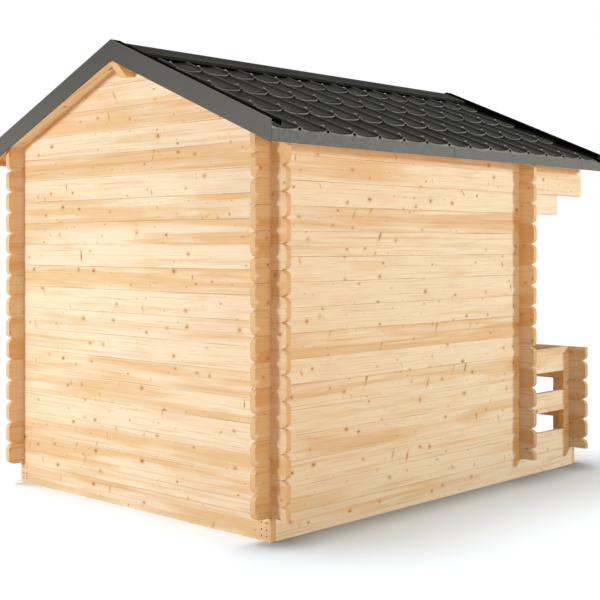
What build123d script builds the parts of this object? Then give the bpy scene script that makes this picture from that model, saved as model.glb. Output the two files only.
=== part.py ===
from build123d import *
import os
from math import radians, tan

# Outdoor sauna cabin of interlocking logs with a railed porch and a gabled metal roof.
# Millimetres, +Z up, the porch faces -Y and the rear gable faces +Y.

os.makedirs("parts", exist_ok=True)

# Driving dimensions of the walls
wall_width = 2265.0
body_depth = 2335.0
porch_depth = 620.0
course = 133.35
log_thick = 35.0
log_projection = 112.0
side_courses = 15
log_chamfer = 1.5
end_bevel_length = 38.0
end_bevel_height = 31.0
end_round = 11.0
seat_gap = 0.3

# Base
skirt_height = 125.0
skirt_thick = 38.0
skirt_front_offset = 45.0
floor_thick = 25.0
joist_thick = 45.0
joist_count = 4

# Roof
roof_pitch = 23.0
overhang_side = 158.0
overhang_end = 153.0
board_thick = 20.0
batten_height = 16.0
batten_width = 45.0
tile_rows = 4
sheet_thick = 3.0
sheet_low = 50.0
sheet_high = 63.0
trim_rise = 83.0
trim_drop = 36.0
trim_thick = 2.0
trim_lip = 70.0
fascia_thick = 20.0
eave_trim_drop = 27.0
eave_trim_height = 67.0
beam_width = 60.0
beam_height = 121.0
beam_end_inset = 68.0
cap_half_width = 180.0
cap_rise = 74.0

# Porch rail
rail_height = 694.0
rail_cap_height = 49.0
rail_spacer = 65.0
return_spacer = 87.0
return_length = 560.0
return_projection = 130.0
rail_post_width = 70.0
bracket_reach = 434.0

# Doorway
door_opening = 700.0
frame_thick = 36.0
frame_depth = 70.0
leaf_gap = 3.0
leaf_thick = 36.0
hinge_length = 90.0
hinge_width = 60.0
hinge_plate = 3.0
hinge_pin = 10.0
hinge_share = 0.12
handle_length = 320.0
handle_size = 30.0
handle_reach = 55.0
handle_inset = 60.0
handle_chamfer = 5.0

# Derived positions
half_width = wall_width / 2
total_depth = body_depth + porch_depth
rear_face = total_depth / 2
wall_front_face = rear_face - body_depth
rail_front_face = -total_depth / 2
rear_line = rear_face - log_thick / 2
front_line = wall_front_face + log_thick / 2
rail_line = rail_front_face + log_thick / 2
side_line = half_width - log_thick / 2
slope = tan(radians(roof_pitch))
wall_top = skirt_height + side_courses * course
ridge_under = wall_top + half_width * slope
half_span = half_width + overhang_side
rake_y = rear_face + overhang_end
lap = course / 4
board_rise = board_thick * (1 + slope**2) ** 0.5
batten_rise = board_rise + batten_height * (1 + slope**2) ** 0.5
board_half_length = rake_y - trim_thick - fascia_thick - 2 * seat_gap
board_half_span = half_span - trim_thick - fascia_thick - 2 * seat_gap
beam_bottom = ridge_under - beam_height
eave_trim_bottom = ridge_under - half_span * slope - eave_trim_drop
rail_top = skirt_height + rail_height
rail_log_top = rail_top - rail_cap_height
door_joint = 13
door_top = skirt_height + (door_joint + 0.5) * course


def roof_z(across, rise=0.0):
    """Height of the roof boards' underside, raised by rise, at a distance from the ridge."""
    return ridge_under - abs(across) * slope + rise


def wall_log(start, end, bottom, top, crossings, bevels="start end", square_top=False, square_bottom=False):
    """A log along X between start and end, lapped at each crossing line, its ends bevelled."""
    with BuildPart() as piece:
        with BuildSketch(Plane.XZ):
            with BuildLine():
                points = []
                if "start" in bevels and not square_bottom:
                    points += [(start + end_bevel_length, bottom), (start + end_round, bottom + end_round)]
                    points += [(start, bottom + end_bevel_height)]
                else:
                    points += [(start, bottom)]
                if "start" in bevels and not square_top:
                    points += [(start, top - end_bevel_height), (start + end_round, top - end_round)]
                    points += [(start + end_bevel_length, top)]
                else:
                    points += [(start, top)]
                if "end" in bevels and not square_top:
                    points += [(end - end_bevel_length, top), (end - end_round, top - end_round)]
                    points += [(end, top - end_bevel_height)]
                else:
                    points += [(end, top)]
                if "end" in bevels and not square_bottom:
                    points += [(end, bottom + end_bevel_height), (end - end_round, bottom + end_round)]
                    points += [(end - end_bevel_length, bottom)]
                else:
                    points += [(end, bottom)]
                Polyline(*points, close=True)
            make_face()
            for line, low, high in crossings:
                width = log_thick + 2 * seat_gap
                if low:
                    with Locations((line, bottom + lap / 2)):
                        Rectangle(width, lap + seat_gap, mode=Mode.SUBTRACT)
                if high:
                    with Locations((line, top - lap / 2)):
                        Rectangle(width, lap + seat_gap, mode=Mode.SUBTRACT)
        extrude(amount=log_thick / 2, both=True)
        with BuildSketch(Plane.YZ.offset(start)):
            with Locations((0, (bottom + top) / 2)):
                Rectangle(log_thick, top - bottom - seat_gap)
            chamfer(vertices(), length=log_chamfer)
        extrude(amount=end - start, mode=Mode.INTERSECT)
    return piece.part


def side_log(start, end, bottom, top, crossings, **kwargs):
    """The same log turned to run along Y, start and end being Y positions."""
    return wall_log(start, end, bottom, top, crossings, **kwargs).rotate(Axis.Z, 90)


with BuildPart() as under_roof:
    with BuildSketch(Plane.XZ.offset(-rake_y)):
        with BuildLine():
            Polyline(
                (-half_span, 0),
                (half_span, 0),
                (half_span, roof_z(half_span, -seat_gap)),
                (0, roof_z(0, -seat_gap)),
                (-half_span, roof_z(half_span, -seat_gap)),
                close=True,
            )
        make_face()
    extrude(amount=2 * rake_y)

with BuildPart() as beam_slot:
    with Locations((0, 0, beam_bottom - seat_gap)):
        Box(
            beam_width + 2 * seat_gap,
            2 * rake_y,
            2 * course,
            align=(Align.CENTER, Align.CENTER, Align.MIN),
        )

# Side walls: long rail logs reach the porch front, the top ones carry the roof over the porch
rear_tip = rear_face + log_projection
wall_tip = wall_front_face - log_projection
rail_tip = rail_front_face - log_projection
roof_bracket_tip = seat_gap - board_half_length
step_bracket_tip = wall_front_face - bracket_reach
rail_courses = (0, 2, 4)
spacer_courses = (1, 3)

left_logs = []
for index in range(side_courses):
    bottom = skirt_height + index * course
    top = bottom + course
    crossings = [(rear_line, True, True), (front_line, True, True)]
    front_end = wall_tip
    bevels = "start end"
    if index in rail_courses:
        crossings.append((rail_line, True, True))
        front_end = rail_tip
    if index == side_courses - 3:
        front_end = step_bracket_tip
        bevels = "end"
    if index > side_courses - 3:
        front_end = roof_bracket_tip
        bevels = "end"
    if index == side_courses - 1:
        top += log_thick * slope
        crossings = [(rear_line, True, False), (front_line, True, False)]
    left_logs.append(side_log(front_end, rear_tip, bottom, top, crossings, bevels=bevels))
for index in spacer_courses:
    bottom = skirt_height + index * course
    spacer_end = rail_front_face + log_thick + rail_spacer
    crossings = [(rail_line, True, True)]
    left_logs.append(side_log(rail_tip, spacer_end, bottom, bottom + course, crossings, bevels="start"))

with BuildPart() as left_side_wall:
    with Locations((-side_line, 0, 0)):
        add(left_logs)
    # the rail's upper log is lowered for its cap
    with Locations((-side_line, wall_tip - seat_gap, rail_log_top)):
        Box(
            2 * log_thick,
            porch_depth,
            course,
            align=(Align.CENTER, Align.MAX, Align.MIN),
            mode=Mode.SUBTRACT,
        )
    # the roof log's top is lapped for the gable log over it and cut to the slope
    with Locations((-side_line, rear_line, wall_top - lap), (-side_line, front_line, wall_top - lap)):
        Box(
            2 * log_thick,
            log_thick + 2 * seat_gap,
            course,
            align=(Align.CENTER, Align.CENTER, Align.MIN),
            mode=Mode.SUBTRACT,
        )
    add(under_roof, mode=Mode.INTERSECT)
left_side_wall.part.label = "left_side_wall"
export_step(left_side_wall.part, "parts/left_side_wall.step")

with BuildPart() as right_side_wall:
    add(mirror(left_side_wall.part, about=Plane.YZ))
right_side_wall.part.label = "right_side_wall"
export_step(right_side_wall.part, "parts/right_side_wall.step")

# Rear gable: a half log at the foot, then full logs up to the ridge beam
cross_tip = half_width + log_projection
corner_laps = [(-side_line, True, True), (side_line, True, True)]
foot_laps = [(-side_line, False, True), (side_line, False, True)]
half_course = course / 2


def gable_reach(bottom):
    """Half length of a gable log whose foot is at this height."""
    return min(cross_tip, (ridge_under - bottom) / slope - seat_gap)


def gable_logs(first):
    """Full-width gable logs from the given joint up to the ridge beam."""
    logs = []
    index = first
    while skirt_height + half_course + index * course < beam_bottom:
        bottom = skirt_height + half_course + index * course
        reach = gable_reach(bottom)
        crossings = corner_laps if reach > half_width else []
        full = reach == cross_tip and roof_z(cross_tip) > bottom + course
        bevels = "start end" if full else ""
        logs.append(wall_log(-reach, reach, bottom, bottom + course, crossings, bevels=bevels))
        index += 1
    return logs


def foot_log(start, end, crossings, bevels="start end"):
    """The half-height log that starts every crosswise wall."""
    return wall_log(
        start, end, skirt_height, skirt_height + half_course, crossings, bevels=bevels, square_bottom=True
    )


rear_logs = [foot_log(-cross_tip, cross_tip, foot_laps)] + gable_logs(0)
with BuildPart() as rear_gable_wall:
    with Locations((0, rear_line, 0)):
        add(rear_logs)
    add(under_roof, mode=Mode.INTERSECT)
    add(beam_slot, mode=Mode.SUBTRACT)
rear_gable_wall.part.label = "rear_gable_wall"
export_step(rear_gable_wall.part, "parts/rear_gable_wall.step")

# Front wall: split beside the doorway, whole logs over it
front_logs = gable_logs(door_joint)
with BuildPart() as front_gable_wall:
    with Locations((0, front_line, 0)):
        add(front_logs)
    add(under_roof, mode=Mode.INTERSECT)
    add(beam_slot, mode=Mode.SUBTRACT)
front_gable_wall.part.label = "front_gable_wall"
export_step(front_gable_wall.part, "parts/front_gable_wall.step")

door_side = -door_opening / 2
beside_logs = [foot_log(-cross_tip, door_side, foot_laps[:1], bevels="start")]
for index in range(door_joint):
    bottom = skirt_height + half_course + index * course
    beside_logs.append(
        wall_log(-cross_tip, door_side, bottom, bottom + course, corner_laps[:1], bevels="start")
    )
with BuildPart() as front_wall_left:
    with Locations((0, front_line, 0)):
        add(beside_logs)
front_wall_left.part.label = "front_wall_left"
export_step(front_wall_left.part, "parts/front_wall_left.step")

with BuildPart() as front_wall_right:
    add(mirror(front_wall_left.part, about=Plane.YZ))
front_wall_right.part.label = "front_wall_right"
export_step(front_wall_right.part, "parts/front_wall_right.step")

# Porch front returns beside the way in, every other course open with short spacers
return_end = -half_width + return_length
return_tip = -half_width - return_projection
return_spacer_end = -half_width + log_thick + return_spacer
rail_top_foot = skirt_height + half_course + 4 * course
top_laps = [(-side_line, True, False)]
return_logs = [foot_log(return_tip, return_end, foot_laps[:1], bevels="start")]
for index in (0, 2):
    bottom = skirt_height + half_course + index * course
    return_logs += [
        wall_log(return_tip, return_spacer_end, bottom, bottom + course, corner_laps[:1], bevels="start"),
        wall_log(return_end - return_spacer, return_end, bottom, bottom + course, [], bevels=""),
    ]
for index in (1, 3):
    bottom = skirt_height + half_course + index * course
    return_logs.append(
        wall_log(return_tip, return_end, bottom, bottom + course, corner_laps[:1], bevels="start")
    )
return_logs.append(
    wall_log(return_tip, return_end, rail_top_foot, rail_top, top_laps, bevels="start", square_top=True)
)
with BuildPart() as porch_return_left:
    with Locations((0, rail_line, 0)):
        add(return_logs)
porch_return_left.part.label = "porch_return_left"
export_step(porch_return_left.part, "parts/porch_return_left.step")

with BuildPart() as porch_return_right:
    add(mirror(porch_return_left.part, about=Plane.YZ))
porch_return_right.part.label = "porch_return_right"
export_step(porch_return_right.part, "parts/porch_return_right.step")

# Post that closes each return at the way in
with BuildPart() as porch_post_left:
    with Locations((return_end + seat_gap, rail_line, skirt_height)):
        Box(
            log_thick,
            rail_post_width,
            rail_top - skirt_height,
            align=(Align.MIN, Align.CENTER, Align.MIN),
        )
    chamfer(porch_post_left.edges().filter_by(Axis.Z), length=log_chamfer)
porch_post_left.part.label = "porch_post_left"
export_step(porch_post_left.part, "parts/porch_post_left.step")

with BuildPart() as porch_post_right:
    add(mirror(porch_post_left.part, about=Plane.YZ))
porch_post_right.part.label = "porch_post_right"
export_step(porch_post_right.part, "parts/porch_post_right.step")

# Cap of the side rail, between the front wall's log ends and the return's top log
cap_rear = wall_tip - seat_gap
cap_front = rail_front_face + log_thick + seat_gap
with BuildPart() as rail_cap_left:
    with Locations((-side_line, cap_rear, rail_log_top + seat_gap)):
        Box(
            log_thick,
            cap_rear - cap_front,
            rail_top - rail_log_top - seat_gap,
            align=(Align.CENTER, Align.MAX, Align.MIN),
        )
    chamfer(rail_cap_left.edges().filter_by(Axis.Y), length=log_chamfer)
rail_cap_left.part.label = "rail_cap_left"
export_step(rail_cap_left.part, "parts/rail_cap_left.step")

with BuildPart() as rail_cap_right:
    add(mirror(rail_cap_left.part, about=Plane.YZ))
rail_cap_right.part.label = "rail_cap_right"
export_step(rail_cap_right.part, "parts/rail_cap_right.step")

# Base skirt under the walls, and joists that carry the floors
with BuildPart() as skirt_rear:
    with Locations((0, rear_face, 0)):
        Box(wall_width, skirt_thick, skirt_height - seat_gap, align=(Align.CENTER, Align.MAX, Align.MIN))
skirt_rear.part.label = "skirt_rear"
export_step(skirt_rear.part, "parts/skirt_rear.step")

skirt_front_face = rail_front_face - skirt_front_offset
with BuildPart() as skirt_front:
    with Locations((0, skirt_front_face, 0)):
        Box(wall_width, skirt_thick, skirt_height - seat_gap, align=(Align.CENTER, Align.MIN, Align.MIN))
skirt_front.part.label = "skirt_front"
export_step(skirt_front.part, "parts/skirt_front.step")

skirt_side_rear = rear_face - skirt_thick - seat_gap
skirt_side_front = skirt_front_face + skirt_thick + seat_gap
with BuildPart() as skirt_left:
    with Locations((-half_width, skirt_side_rear, 0)):
        Box(
            skirt_thick,
            skirt_side_rear - skirt_side_front,
            skirt_height - seat_gap,
            align=(Align.MIN, Align.MAX, Align.MIN),
        )
skirt_left.part.label = "skirt_left"
export_step(skirt_left.part, "parts/skirt_left.step")

with BuildPart() as skirt_right:
    add(mirror(skirt_left.part, about=Plane.YZ))
skirt_right.part.label = "skirt_right"
export_step(skirt_right.part, "parts/skirt_right.step")

floor_half = half_width - skirt_thick - seat_gap
joist_height = skirt_height - floor_thick
with BuildPart() as skirt_middle:
    with Locations((0, front_line, 0)):
        Box(
            2 * floor_half,
            skirt_thick,
            skirt_height - seat_gap,
            align=(Align.CENTER, Align.CENTER, Align.MIN),
        )
skirt_middle.part.label = "skirt_middle"
export_step(skirt_middle.part, "parts/skirt_middle.step")

room_rear = rear_face - skirt_thick - seat_gap
room_front = front_line + skirt_thick / 2 + seat_gap
porch_rear = front_line - skirt_thick / 2 - seat_gap
porch_front = skirt_side_front
joist_pitch = 2 * floor_half / joist_count
with BuildPart() as floor_joists:
    for front, rear in ((room_front, room_rear), (porch_front, porch_rear)):
        with Locations((0, (front + rear) / 2, 0)):
            with GridLocations(joist_pitch, 0, joist_count, 1):
                Box(
                    joist_thick,
                    rear - front,
                    joist_height - seat_gap,
                    align=(Align.CENTER, Align.CENTER, Align.MIN),
                )
floor_joists.part.label = "floor_joists"
export_step(floor_joists.part, "parts/floor_joists.step")

with BuildPart() as room_floor:
    with Locations((0, (room_front + room_rear) / 2, joist_height)):
        Box(
            2 * floor_half,
            room_rear - room_front,
            floor_thick - seat_gap,
            align=(Align.CENTER, Align.CENTER, Align.MIN),
        )
room_floor.part.label = "room_floor"
export_step(room_floor.part, "parts/room_floor.step")

with BuildPart() as porch_floor:
    with Locations((0, (porch_front + porch_rear) / 2, joist_height)):
        Box(
            2 * floor_half,
            porch_rear - porch_front,
            floor_thick - seat_gap,
            align=(Align.CENTER, Align.CENTER, Align.MIN),
        )
porch_floor.part.label = "porch_floor"
export_step(porch_floor.part, "parts/porch_floor.step")

# Door in its frame
frame_width = door_opening - 2 * seat_gap
frame_height = door_top - skirt_height - seat_gap
inner_width = frame_width - 2 * frame_thick
inner_height = frame_height - frame_thick
with BuildPart() as door_frame:
    with Locations((0, front_line, skirt_height)):
        Box(frame_width, frame_depth, frame_height, align=(Align.CENTER, Align.CENTER, Align.MIN))
        Box(
            inner_width,
            2 * frame_depth,
            inner_height,
            align=(Align.CENTER, Align.CENTER, Align.MIN),
            mode=Mode.SUBTRACT,
        )
door_frame.part.label = "door_frame"
export_step(door_frame.part, "parts/door_frame.step")

leaf_face = front_line - frame_depth / 2
leaf_width = inner_width - 2 * leaf_gap
leaf_height = inner_height - 2 * leaf_gap
leaf_foot = skirt_height + leaf_gap
with BuildPart() as door_leaf:
    with Locations((0, leaf_face, leaf_foot)):
        Box(leaf_width, leaf_thick, leaf_height, align=(Align.CENTER, Align.MIN, Align.MIN))
door_leaf.part.label = "door_leaf"
export_step(door_leaf.part, "parts/door_leaf.step")

leaf_middle = leaf_foot + leaf_height / 2
hinge_step = leaf_height * (0.5 - hinge_share)
with BuildPart() as door_hinges:
    for place in (-1, 0, 1):
        with Locations((-inner_width / 2, leaf_face - seat_gap, leaf_middle + place * hinge_step)):
            Box(
                hinge_width,
                hinge_plate,
                hinge_length,
                align=(Align.CENTER, Align.MAX, Align.CENTER),
            )
            Cylinder(hinge_pin / 2, hinge_length, align=(Align.CENTER, Align.MAX, Align.CENTER))
door_hinges.part.label = "door_hinges"
export_step(door_hinges.part, "parts/door_hinges.step")

handle_x = leaf_width / 2 - handle_inset
with BuildPart() as door_handle:
    with Locations((handle_x, leaf_face - seat_gap, leaf_middle)):
        Box(
            handle_size,
            handle_reach,
            handle_length,
            align=(Align.CENTER, Align.MAX, Align.CENTER),
        )
        Box(
            2 * handle_size,
            handle_reach - handle_size,
            handle_length - 2 * handle_size,
            align=(Align.CENTER, Align.MAX, Align.CENTER),
            mode=Mode.SUBTRACT,
        )
    chamfer(door_handle.faces().sort_by(Axis.Y)[0].edges(), length=handle_chamfer)
door_handle.part.label = "door_handle"
export_step(door_handle.part, "parts/door_handle.step")

# Ridge beam with ends cut back under the rake
beam_tip = board_half_length
beam_foot_tip = beam_tip - beam_end_inset
beam_cut_rise = beam_end_inset
with BuildPart() as ridge_beam:
    with BuildSketch(Plane.YZ):
        with BuildLine():
            Polyline(
                (-beam_foot_tip, beam_bottom),
                (beam_foot_tip, beam_bottom),
                (beam_tip, beam_bottom + beam_cut_rise),
                (beam_tip, ridge_under),
                (-beam_tip, ridge_under),
                (-beam_tip, beam_bottom + beam_cut_rise),
                close=True,
            )
        make_face()
    extrude(amount=beam_width / 2, both=True)
    add(under_roof, mode=Mode.INTERSECT)
ridge_beam.part.label = "ridge_beam"
export_step(ridge_beam.part, "parts/ridge_beam.step")

# Roof: boards, battens and stepped metal sheets on each slope
ridge_gap = seat_gap / 2


def slope_band(inner, outer, low, high):
    """Sketch points of a band along the left slope between two rises over the boards' underside."""
    return [
        (-inner, roof_z(inner, low)),
        (-inner, roof_z(inner, high)),
        (-outer, roof_z(outer, high)),
        (-outer, roof_z(outer, low)),
    ]


with BuildPart() as roof_boards_left:
    with BuildSketch(Plane.XZ.offset(-board_half_length)):
        with BuildLine():
            Polyline(*slope_band(ridge_gap, board_half_span, 0, board_rise), close=True)
        make_face()
    extrude(amount=2 * board_half_length)
roof_boards_left.part.label = "roof_boards_left"
export_step(roof_boards_left.part, "parts/roof_boards_left.step")

with BuildPart() as roof_boards_right:
    add(mirror(roof_boards_left.part, about=Plane.YZ))
roof_boards_right.part.label = "roof_boards_right"
export_step(roof_boards_right.part, "parts/roof_boards_right.step")

batten_low = board_rise + seat_gap
with BuildPart() as roof_battens:
    with BuildSketch(Plane.XZ.offset(-board_half_length)):
        for index in range(tile_rows):
            outer = board_half_span - index * half_span / tile_rows
            with BuildLine():
                Polyline(*slope_band(outer - batten_width, outer, batten_low, batten_rise), close=True)
            make_face()
        mirror(about=Plane.YZ)
    extrude(amount=2 * board_half_length)
roof_battens.part.label = "roof_battens"
export_step(roof_battens.part, "parts/roof_battens.step")

sheet_half_length = rake_y - trim_thick - seat_gap
row_run = half_span / tile_rows
sheet_points = []
for index in range(tile_rows):
    inner = ridge_gap if index == 0 else index * row_run
    outer = (index + 1) * row_run
    sheet_points += [(-inner, roof_z(inner, sheet_low)), (-outer, roof_z(outer, sheet_high))]
for index in reversed(range(tile_rows)):
    inner = ridge_gap if index == 0 else index * row_run
    outer = (index + 1) * row_run - (0 if index == tile_rows - 1 else sheet_thick)
    sheet_points += [
        (-outer, roof_z(outer, sheet_high - sheet_thick)),
        (-inner if index == 0 else -(inner - sheet_thick), roof_z(inner, sheet_low - sheet_thick)),
    ]
with BuildPart() as roof_sheet_left:
    with BuildSketch(Plane.XZ.offset(-sheet_half_length)):
        with BuildLine():
            Polyline(*sheet_points, close=True)
        make_face()
    extrude(amount=2 * sheet_half_length)
roof_sheet_left.part.label = "roof_sheet_left"
export_step(roof_sheet_left.part, "parts/roof_sheet_left.step")

with BuildPart() as roof_sheet_right:
    add(mirror(roof_sheet_left.part, about=Plane.YZ))
roof_sheet_right.part.label = "roof_sheet_right"
export_step(roof_sheet_right.part, "parts/roof_sheet_right.step")

cap_foot = sheet_low + (sheet_high - sheet_low) * cap_half_width / row_run + seat_gap
cap_inner = cap_half_width - sheet_thick
with BuildPart() as ridge_cap:
    with BuildSketch(Plane.XZ.offset(-sheet_half_length)):
        with BuildLine():
            Polyline(
                (-cap_half_width, roof_z(cap_half_width, cap_foot)),
                (-cap_half_width, roof_z(cap_half_width, cap_rise)),
                (0, roof_z(0, cap_rise)),
                (cap_half_width, roof_z(cap_half_width, cap_rise)),
                (cap_half_width, roof_z(cap_half_width, cap_foot)),
                (cap_inner, roof_z(cap_inner, cap_foot)),
                (cap_inner, roof_z(cap_inner, cap_rise - sheet_thick)),
                (0, roof_z(0, cap_rise - sheet_thick)),
                (-cap_inner, roof_z(cap_inner, cap_rise - sheet_thick)),
                (-cap_inner, roof_z(cap_inner, cap_foot)),
                close=True,
            )
        make_face()
    extrude(amount=2 * sheet_half_length)
ridge_cap.part.label = "ridge_cap"
export_step(ridge_cap.part, "parts/ridge_cap.step")

# Fascia boards behind the trims
fascia_top = batten_rise - seat_gap
fascia_drop = eave_trim_drop - seat_gap
rake_board_half = half_span - trim_thick - seat_gap
with BuildPart() as rake_boards:
    for face in (rake_y - trim_thick - seat_gap, -rake_y + trim_thick + seat_gap + fascia_thick):
        with BuildSketch(Plane.XZ.offset(-face)):
            with BuildLine():
                Polyline(*slope_band(ridge_gap, rake_board_half, -fascia_drop, fascia_top), close=True)
            make_face()
            mirror(about=Plane.YZ)
        extrude(amount=fascia_thick)
rake_boards.part.label = "rake_boards"
export_step(rake_boards.part, "parts/rake_boards.step")

eave_board_outer = half_span - trim_thick - seat_gap
eave_board_top = eave_trim_bottom + eave_trim_height - seat_gap
with BuildPart() as eave_boards:
    with BuildSketch(Plane.XZ.offset(-board_half_length)):
        with BuildLine():
            Polyline(
                (-eave_board_outer, eave_trim_bottom + seat_gap),
                (-eave_board_outer + fascia_thick, eave_trim_bottom + seat_gap),
                (-eave_board_outer + fascia_thick, eave_board_top),
                (-eave_board_outer, eave_board_top),
                close=True,
            )
        make_face()
        mirror(about=Plane.YZ)
    extrude(amount=2 * board_half_length)
eave_boards.part.label = "eave_boards"
export_step(eave_boards.part, "parts/eave_boards.step")

# Metal trims: a face and a lip back over the sheet
trim_foot = [
    (-half_span, eave_trim_bottom),
    ((eave_trim_bottom + trim_drop - ridge_under) / slope, eave_trim_bottom),
]
with BuildPart() as rake_trim_rear_left:
    with BuildSketch(Plane.XZ.offset(-rake_y)):
        with BuildLine():
            Polyline(
                *trim_foot,
                (-ridge_gap, roof_z(ridge_gap, -trim_drop)),
                (-ridge_gap, roof_z(ridge_gap, trim_rise)),
                (-half_span, roof_z(half_span, trim_rise)),
                close=True,
            )
        make_face()
    extrude(amount=trim_thick)
    with BuildSketch(Plane.XZ.offset(-rake_y)):
        with BuildLine():
            Polyline(*slope_band(ridge_gap, half_span, trim_rise - trim_thick, trim_rise), close=True)
        make_face()
    extrude(amount=trim_lip)
rake_trim_rear_left.part.label = "rake_trim_rear_left"
export_step(rake_trim_rear_left.part, "parts/rake_trim_rear_left.step")

with BuildPart() as rake_trim_rear_right:
    add(mirror(rake_trim_rear_left.part, about=Plane.YZ))
rake_trim_rear_right.part.label = "rake_trim_rear_right"
export_step(rake_trim_rear_right.part, "parts/rake_trim_rear_right.step")

with BuildPart() as rake_trim_front_left:
    add(mirror(rake_trim_rear_left.part, about=Plane.XZ))
rake_trim_front_left.part.label = "rake_trim_front_left"
export_step(rake_trim_front_left.part, "parts/rake_trim_front_left.step")

with BuildPart() as rake_trim_front_right:
    add(mirror(rake_trim_rear_right.part, about=Plane.XZ))
rake_trim_front_right.part.label = "rake_trim_front_right"
export_step(rake_trim_front_right.part, "parts/rake_trim_front_right.step")

eave_trim_half = rake_y - trim_thick - seat_gap
with BuildPart() as eave_trim_left:
    with Locations((-half_span, 0, eave_trim_bottom)):
        Box(
            trim_thick,
            2 * eave_trim_half,
            eave_trim_height,
            align=(Align.MIN, Align.CENTER, Align.MIN),
        )
eave_trim_left.part.label = "eave_trim_left"
export_step(eave_trim_left.part, "parts/eave_trim_left.step")

with BuildPart() as eave_trim_right:
    add(mirror(eave_trim_left.part, about=Plane.YZ))
eave_trim_right.part.label = "eave_trim_right"
export_step(eave_trim_right.part, "parts/eave_trim_right.step")
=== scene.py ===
import math

import bpy
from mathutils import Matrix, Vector


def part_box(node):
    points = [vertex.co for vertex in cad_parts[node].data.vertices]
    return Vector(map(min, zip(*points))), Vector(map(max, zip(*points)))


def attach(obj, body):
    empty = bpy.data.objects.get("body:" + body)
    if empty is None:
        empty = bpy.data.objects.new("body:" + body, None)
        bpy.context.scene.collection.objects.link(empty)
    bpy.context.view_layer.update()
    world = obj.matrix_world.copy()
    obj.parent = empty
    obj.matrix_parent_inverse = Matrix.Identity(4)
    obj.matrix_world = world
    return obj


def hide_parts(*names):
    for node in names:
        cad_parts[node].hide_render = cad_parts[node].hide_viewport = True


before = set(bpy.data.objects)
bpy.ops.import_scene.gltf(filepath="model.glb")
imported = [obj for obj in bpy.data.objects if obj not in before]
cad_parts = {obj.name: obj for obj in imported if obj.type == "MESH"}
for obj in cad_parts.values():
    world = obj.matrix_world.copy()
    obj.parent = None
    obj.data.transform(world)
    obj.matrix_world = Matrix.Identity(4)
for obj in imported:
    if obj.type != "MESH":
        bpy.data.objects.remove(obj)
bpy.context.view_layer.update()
scene = bpy.context.scene

# Sizes shared with the part, in metres
HALF_WIDTH = 2.265 / 2
REAR_FACE = 2.955 / 2
SKIRT_FRONT = REAR_FACE + 0.045
COURSE = 0.13335
SKIRT = 0.125
SLOPE = math.tan(math.radians(23.0))
RIDGE_UNDER = SKIRT + 15 * COURSE + HALF_WIDTH * SLOPE
HALF_SPAN = HALF_WIDTH + 0.158
RAKE_Y = REAR_FACE + 0.153
TILE_ROWS = 4
ROW_RUN = HALF_SPAN / TILE_ROWS
EAVE_FOOT = RIDGE_UNDER - HALF_SPAN * SLOPE - 0.027
TILE_PITCH = 0.2115
ROLL_Y = 1.4275
BOARD_HALF_LENGTH = RAKE_Y - 0.0226
BOARD_HALF_SPAN = HALF_SPAN - 0.0226
ROOF_BOARDS = 28
ROOM_BOARDS = 24
PORCH_BOARDS = 6
DOOR_PLANKS = 6


def roof_z(across, rise=0.0):
    """Height of the roof's underside at a distance across from the ridge, plus a rise."""
    return RIDGE_UNDER - abs(across) * SLOPE + rise


# Node helpers


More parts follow.
